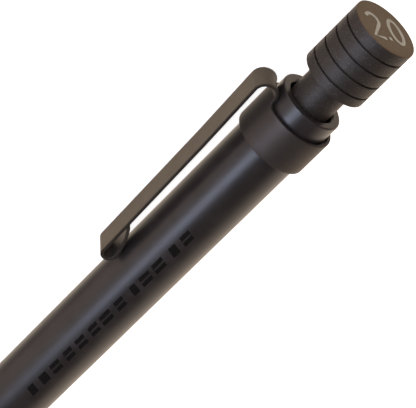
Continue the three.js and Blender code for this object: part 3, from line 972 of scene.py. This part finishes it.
def way_back(inner, bend):
    """The strip's end: from the loop, in a curve, up to the underside of the arm."""
    lean = (bend[0] - arm_end) / (bend[1] - loop_z)
    meets = arm_end + lean * LOOP_RETURN - SHEET - LOOP_CLEAR
    points = []
    for step in range(1, RETURN_STEPS + 1):
        share = step / RETURN_STEPS
        toward = (1 - share) ** 2 * inner + 2 * share * (1 - share) * inner + share ** 2 * meets
        height = 2 * share * (1 - share) * LOOP_BULGE + share ** 2 * LOOP_RETURN
        points.append((toward, loop_z + height))
    return points


def clip_line():
    """The bent strip as (distance from the axis, height), from the neck's top to its end."""
    fold = half_turn((band_middle + fold_radius, fold_z), fold_radius, 180, FOLD_STEPS)
    bend = (arm_out - BEND_IN, fold_z - BEND_DOWN)
    loop = half_turn((arm_end - LOOP_RADIUS, loop_z), LOOP_RADIUS, 0, LOOP_STEPS)
    upper_arm = stretch(fold[-1], bend, UPPER_ARM_STEPS)
    lower_arm = stretch(bend, loop[0], LOWER_ARM_STEPS)
    return fold + upper_arm + lower_arm + loop[1:] + way_back(arm_end - 2 * LOOP_RADIUS, bend)


def normals_of(line):
    """The side of the strip that faces the barrel in the neck, at each point of the line."""
    found = []
    for index in range(len(line)):
        before = Vector(line[max(index - 1, 0)])
        after = Vector(line[min(index + 1, len(line) - 1)])
        along = (after - before).normalized()
        found.append((-along.y, along.x))
    return found


print("middle line:", len(clip_line()), "points")

# %% Bending the blank
ROOT_ROUNDING = 0.55
NECK_STEPS = 8
FLAT_AFTER = 0.6
LEAST_CURL = 0.001
TO_BARREL = (-1, 0)


def bent(across, point, normal, curl):
    """Carries a blank's point, at a distance across the strip, onto the bent sheet.
    curl is 1 where the strip is as round as the barrel, and 0 where it is flat."""
    bending = max(curl, LEAST_CURL) / band_middle
    inward = (1 - math.cos(bending * across)) / bending
    place = Vector(point) + Vector(normal) * inward
    return (math.sin(bending * across) / bending, place.x, place.y)


def neck_rows():
    """The neck from the band upwards: (point, half width). It flares out to its root."""
    rows = []
    for step in range(NECK_STEPS + 1):
        height = band_top + (fold_z - band_top) * step / NECK_STEPS
        risen = min((height - band_top) / ROOT_ROUNDING, 1)
        flare = ROOT_ROUNDING * (1 - math.sqrt(1 - (1 - risen) ** 2))
        rows.append(((band_middle, height), clip_arm.half_width + flare))
    return rows


def tab_path(neck):
    """All of the tab's rows above the band: (point, half width, normal, curl)."""
    path = [(point, half, TO_BARREL, 1.0) for point, half in neck[1:-1]]
    line = clip_line()
    for index, (point, normal) in enumerate(zip(line, normals_of(line))):
        curl = max(0.0, 1 - index / (FLAT_AFTER * FOLD_STEPS))
        path.append((point, clip_arm.half_width, normal, curl * curl * (3 - 2 * curl)))
    return path


# %% The clip's surface
TAB_COLUMNS = 8
BAND_COLUMNS = 72
BAND_ROWS = 6


def clip_surface():
    """The bent strip without thickness: rings for the band, then the tab's rows."""
    shape = bmesh.new()
    neck = neck_rows()
    root_half = neck[0][1]
    tab = [-1 + 2 * step / TAB_COLUMNS for step in range(TAB_COLUMNS + 1)]
    free = 2 * (math.pi * band_middle - root_half)
    columns = [root_half * share for share in tab]
    columns += [root_half + free * step / BAND_COLUMNS for step in range(1, BAND_COLUMNS)]
    rows = []
    for step in range(BAND_ROWS + 1):
        point = (band_middle, clip_band.front + BAND_HEIGHT * step / BAND_ROWS)
        rows.append([shape.verts.new(bent(across, point, TO_BARREL, 1)) for across in columns])
    for near, far in zip(rows, rows[1:]):
        bridge(shape, near, far)
    strip = rows[-1][: len(tab)]
    for point, half, normal, curl in tab_path(neck):
        row = [shape.verts.new(bent(half * share, point, normal, curl)) for share in tab]
        for near, far in zip(zip(strip, strip[1:]), zip(row, row[1:])):
            shape.faces.new([near[0], near[1], far[1], far[0]])
        strip = row
    return shape


# %% Sheet thickness and cut edges
CUT_ROUNDING = 0.07
CUT_STEPS = 3
CUT_ANGLE = math.radians(50)


def clip():
    blank = bpy.data.meshes.new("clip_blank")
    shape = clip_surface()
    bmesh.ops.recalc_face_normals(shape, faces=shape.faces)
    shape.to_mesh(blank)
    shape.free()
    maker = bpy.data.objects.new("clip_blank", blank)
    bpy.context.scene.collection.objects.link(maker)
    thick = maker.modifiers.new("sheet", "SOLIDIFY")
    thick.thickness = SHEET
    thick.offset = 0
    thick.use_even_offset = True
    broken = maker.modifiers.new("cut_edges", "BEVEL")
    broken.width = CUT_ROUNDING
    broken.segments = CUT_STEPS
    broken.limit_method = "ANGLE"
    broken.angle_limit = CUT_ANGLE
    worked_out = maker.evaluated_get(bpy.context.evaluated_depsgraph_get())
    ready = bpy.data.meshes.new_from_object(worked_out)
    bpy.data.objects.remove(maker)
    shape = bmesh.new()
    shape.from_mesh(ready)
    bpy.data.meshes.remove(ready)
    return placed("clip", shape)


pocket_clip = clip()
pocket_clip.data.materials.append(FINISHES["clip_metal"])
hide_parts("clip_band", "clip_arm")
print("clip:", len(pocket_clip.data.polygons), "faces")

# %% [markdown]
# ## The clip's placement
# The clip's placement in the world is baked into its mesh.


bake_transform(pocket_clip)

# %% [markdown]
# ## Liner
# A thin nylon sleeve keeps the band from scratching the barrel. Only its dark rim shows.

# %% Liner
liner = Measure("clip_liner")
fitted(
    turned("liner", [
        (liner.bore, liner.front, CRISP),
        (liner.radius, liner.front, CRISP),
        (liner.radius, liner.rear, CRISP),
        (liner.bore, liner.rear, CRISP),
    ]),
    "black_nylon", "barrel", "clip_liner",
)

# %% [markdown]
# ## Knurled grip
# The grip is rolled with crossing grooves that leave small flat-topped diamonds. It could be
# faked with bump, but the outline would stay smooth. Here the grid of points follows the
# grooves: four points to a diamond, both around and along.

# %% Knurl
grip = Measure("knurled_grip")
DIAMONDS = 30
POINTS_PER_DIAMOND = 4
KNURL_DEPTH = 0.2
LAND = 1.6
LAND_GROOVE = 0.4
LAND_DEPTH = 0.2
knurl_front = grip.front + LAND + LAND_GROOVE
knurl_rear = grip.rear - LAND - LAND_GROOVE
point_step = 2 * math.pi * grip.radius / DIAMONDS / POINTS_PER_DIAMOND
knurl_rows = round((knurl_rear - knurl_front) / point_step)
row_step = (knurl_rear - knurl_front) / knurl_rows


def knurl_relief(angle, height):
    """How deep the nearer of the two crossing grooves cuts at a place on the grip."""
    turns = angle / (2 * math.pi) * DIAMONDS
    rises = (height - knurl_front) / row_step / POINTS_PER_DIAMOND
    depth = 0
    for crossing in (turns + rises, turns - rises):
        away = abs(crossing - round(crossing))
        depth = max(depth, 1 - away * POINTS_PER_DIAMOND)
    return KNURL_DEPTH * depth


print(f"knurl: {DIAMONDS} diamonds around, {knurl_rows / POINTS_PER_DIAMOND:.0f} along")

# %% Grip


def grip_corners():
    waist = grip.radius - LAND_DEPTH
    return [
        (grip.bore, grip.front, CRISP),
        (grip.radius, grip.front, SOFT),
        (grip.radius, grip.front + LAND, CRISP),
        (waist, grip.front + LAND, 0),
        (waist, knurl_front, 0),
        (waist, knurl_rear, 0),
        (waist, grip.rear - LAND, 0),
        (grip.radius, grip.rear - LAND, CRISP),
        (grip.radius, grip.rear, SOFT),
        (grip.bore, grip.rear, CRISP),
    ]


def knurled_grip():
    shape = bmesh.new()
    facets = DIAMONDS * POINTS_PER_DIAMOND
    rings = []
    for radius, height in rounded(grip_corners()):
        rings.append(ring(shape, radius, height, facets))
        if abs(height - knurl_front) < SAME_HEIGHT:
            for row in range(knurl_rows + 1):
                at = knurl_front + row * row_step
                rings.append(ring(shape, grip.radius, at, facets, knurl_relief))
    for near, far in zip(rings, rings[1:] + rings[:1]):
        bridge(shape, near, far)
    return placed("grip", shape)


fitted(knurled_grip(), "black_anodised", "barrel", "knurled_grip")

# %% [markdown]
# ## Nose, ring, sleeve and lead
# The nose cone tapers to the lead sleeve, and its thread shows when it is unscrewed. That
# thread is one ring after another whose radius follows the helix: it rises by one pitch each
# turn, as the joints of the CAD model say.

# %% The nose's sizes
nose = Measure("nose_cone")
sleeve = Measure("lead_sleeve")
retainer = Measure("lead_retainer")
clutch_ring = Measure("clutch_ring")
FIT = 0.05
TIP_BEVEL = 0.3
TIP_ROUNDING = 0.2
MOUTH_ROUNDING = 0.03
SHOULDER_LAND = 0.5
SHOULDER_ROUNDING = 0.4
SHOULDER_GAP = 0.1
CHAMBER_STEP = 0.1
THREAD_DEPTH = 0.16
THREAD_STEPS = 6
nose_turns = joints["nose_unscrew"]["range_deg"][1] / 360
nose_travel = joints["nose_withdraw"]["range_m"][1] / MM
thread_pitch = nose_travel / nose_turns
shoulder = grip.front - SHOULDER_GAP
chamber, thread_radius = nose.reaches_at(nose.rear)
ring_travel = joints["ring_slide"]["range_m"][1] / MM
chamber_front = clutch_ring.front - ring_travel - FIT
print(f"thread: {nose_turns:.0f} turns, {thread_pitch:.2f} mm each")

# %% Nose


def thread_relief(angle, height):
    """How far the thread's flank lies under its crest, at a place on the nose."""
    phase = height / thread_pitch - angle / (2 * math.pi)
    return THREAD_DEPTH * (1 - 2 * abs(phase - round(phase)))


def nose_outline():
    """The nose without its thread: from the end of the thread inwards, then back outside."""
    tip = nose.reaches_at(nose.front + TIP_BEVEL)[1]
    retainer_seat = retainer.radius + FIT
    sleeve_seat = sleeve.radius + FIT
    return rounded([
        (chamber, nose.rear, 0),
        (chamber, chamber_front, 0),
        (chamber - CHAMBER_STEP, chamber_front, 0),
        (chamber - CHAMBER_STEP, retainer.rear + 2 * FIT, 0),
        (retainer_seat, retainer.rear + 2 * FIT, 0),
        (retainer_seat, sleeve.rear + FIT, 0),
        (sleeve_seat, sleeve.rear + FIT, 0),
        (sleeve_seat, nose.front, MOUTH_ROUNDING),
        (tip - TIP_BEVEL, nose.front, 0),
        (tip, nose.front + TIP_BEVEL, TIP_ROUNDING),
        (nose.radius, shoulder - SHOULDER_LAND, SHOULDER_ROUNDING),
        (nose.radius, shoulder, SOFT),
        (thread_radius, shoulder, 0),
    ])


def nose_cone():
    shape = bmesh.new()
    rings = [ring(shape, radius, height, FACETS) for radius, height in nose_outline()]
    thread_length = nose.rear - shoulder
    steps = round(thread_length / thread_pitch * THREAD_STEPS)
    for step in range(1, steps):
        height = shoulder + thread_length * step / steps
        rings.append(ring(shape, thread_radius, height, FACETS, thread_relief))
    rings.append(ring(shape, thread_radius - THREAD_DEPTH, nose.rear, FACETS))
    for near, far in zip(rings, rings[1:] + rings[:1]):
        bridge(shape, near, far)
    return placed("nose", shape)


fitted(nose_cone(), "dark_anodised", "nose_cone", "nose_cone")

# %% O-ring
nose_ring = Measure("nose_o_ring")
SECTION_POINTS = 16


def o_ring():
    middle = (nose_ring.bore + nose_ring.radius) / 2
    section = (nose_ring.radius - nose_ring.bore) / 2
    height = (nose_ring.front + nose_ring.rear) / 2
    circle = arc((middle, height), (section, section), 0, 360, SECTION_POINTS)
    return turned("o_ring", [(across, along, 0) for across, along in circle[:-1]])


fitted(o_ring(), "black_rubber", "nose_fittings", "nose_o_ring")

# %% Sleeve and lead
lead = Measure("lead")
SLEEVE_NARROWS = 0.22
SLEEVE_NARROWS_OVER = 0.3
SLEEVE_RIM = 0.06
SLEEVE_SHOULDER = 0.15
LEAD_POINT = 3
LEAD_TIP = 0.2
LEAD_TIP_ROUNDING = 0.08
LEAD_POINT_ROUNDING = 0.3

fitted(
    turned("sleeve", [
        (sleeve.bore, sleeve.front, MOUTH_ROUNDING),
        (sleeve.radius - SLEEVE_NARROWS, sleeve.front, SLEEVE_RIM),
        (sleeve.radius, sleeve.front + SLEEVE_NARROWS_OVER, SLEEVE_SHOULDER),
        (sleeve.radius, sleeve.rear, CRISP),
        (sleeve.bore, sleeve.rear, 0),
    ], SMALL_FACETS),
    "bright_steel", "nose_fittings", "lead_sleeve",
)
fitted(
    turned("lead_stick", [
        (0, lead.front, 0),
        (LEAD_TIP, lead.front, LEAD_TIP_ROUNDING),
        (lead.radius, lead.front + LEAD_POINT, LEAD_POINT_ROUNDING),
        (lead.radius, lead.rear, CRISP),
        (0, lead.rear, 0),
    ], SMALL_FACETS),
    "graphite", "lead", "lead",
)

# %% [markdown]
# ## Under the knob
# Pulling the knob off bares the lead tube with the eraser in its mouth, so both are remade.
# The eraser's end is well rounded, as vinyl is after some use.

# %% Lead tube and eraser
rubber = Measure("eraser")
TUBE_MOUTH = 0.08
ERASER_FOOT = 0.2
ERASER_CROWN = 0.4

fitted(
    turned("lead_holder_tube", [
        (tube.bore, tube.front, CRISP),
        (tube.radius, tube.front, CRISP),
        (tube.radius, tube.rear, SOFT),
        (tube.bore, tube.rear, TUBE_MOUTH),
    ]),
    "tube_plastic", "push_rod", "lead_tube",
)
fitted(
    turned("eraser_stick", [
        (0, rubber.front, 0),
        (rubber.radius, rubber.front, ERASER_FOOT),
        (rubber.radius, rubber.rear, ERASER_CROWN),
        (0, rubber.rear, 0),
    ]),
    "white_vinyl", "push_rod", "eraser",
)

# %% [markdown]
# ## Return spring
# The spring sits between the barrel and the push rod and shortens as the button is pressed.
# It is a swept coil.

# %% The spring's coils
spring = Measure("return_spring")
WIRE = 0.5
TURNS = 9
CLOSED_TURNS = 0.8
CLOSED_PITCH = 0.575
COIL_POINTS = 24
WIRE_POINTS = 10


def spring_height(turns_done):
    """Height of the wire's middle, with closed coils at both ends."""
    run = spring.rear - spring.front - WIRE
    open_turns = TURNS - 2 * CLOSED_TURNS
    open_pitch = (run - 2 * CLOSED_TURNS * CLOSED_PITCH) / open_turns
    front = min(turns_done, CLOSED_TURNS) * CLOSED_PITCH
    middle = min(max(turns_done - CLOSED_TURNS, 0), open_turns) * open_pitch
    rear = max(turns_done - CLOSED_TURNS - open_turns, 0) * CLOSED_PITCH
    return spring.front + WIRE / 2 + front + middle + rear


print("spring:", TURNS, "turns over", round(spring.rear - spring.front, 2), "mm")

# %% Spring


def coil():
    shape = bmesh.new()
    middle = spring.radius - WIRE / 2
    sections = []
    for step in range(TURNS * COIL_POINTS + 1):
        turns_done = step / COIL_POINTS
        angle = 2 * math.pi * turns_done
        outward = Vector((math.cos(angle), math.sin(angle), 0))
        centre = outward * middle + Vector((0, 0, spring_height(turns_done)))
        section = []
        for point in range(WIRE_POINTS):
            around = 2 * math.pi * point / WIRE_POINTS
            reach = outward * math.cos(around) + Vector((0, 0, math.sin(around)))
            section.append(shape.verts.new(centre + reach * WIRE / 2))
        sections.append(section)
    for near, far in zip(sections, sections[1:]):
        bridge(shape, near, far)
    shape.faces.new(sections[0])
    shape.faces.new(sections[-1])
    return placed("spring_coil", shape)


coil_piece = coil()
coil_piece.data.materials.append(FINISHES["bright_steel"])
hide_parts("return_spring")
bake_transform(coil_piece)
print("spring coil:", len(coil_piece.data.polygons), "faces")
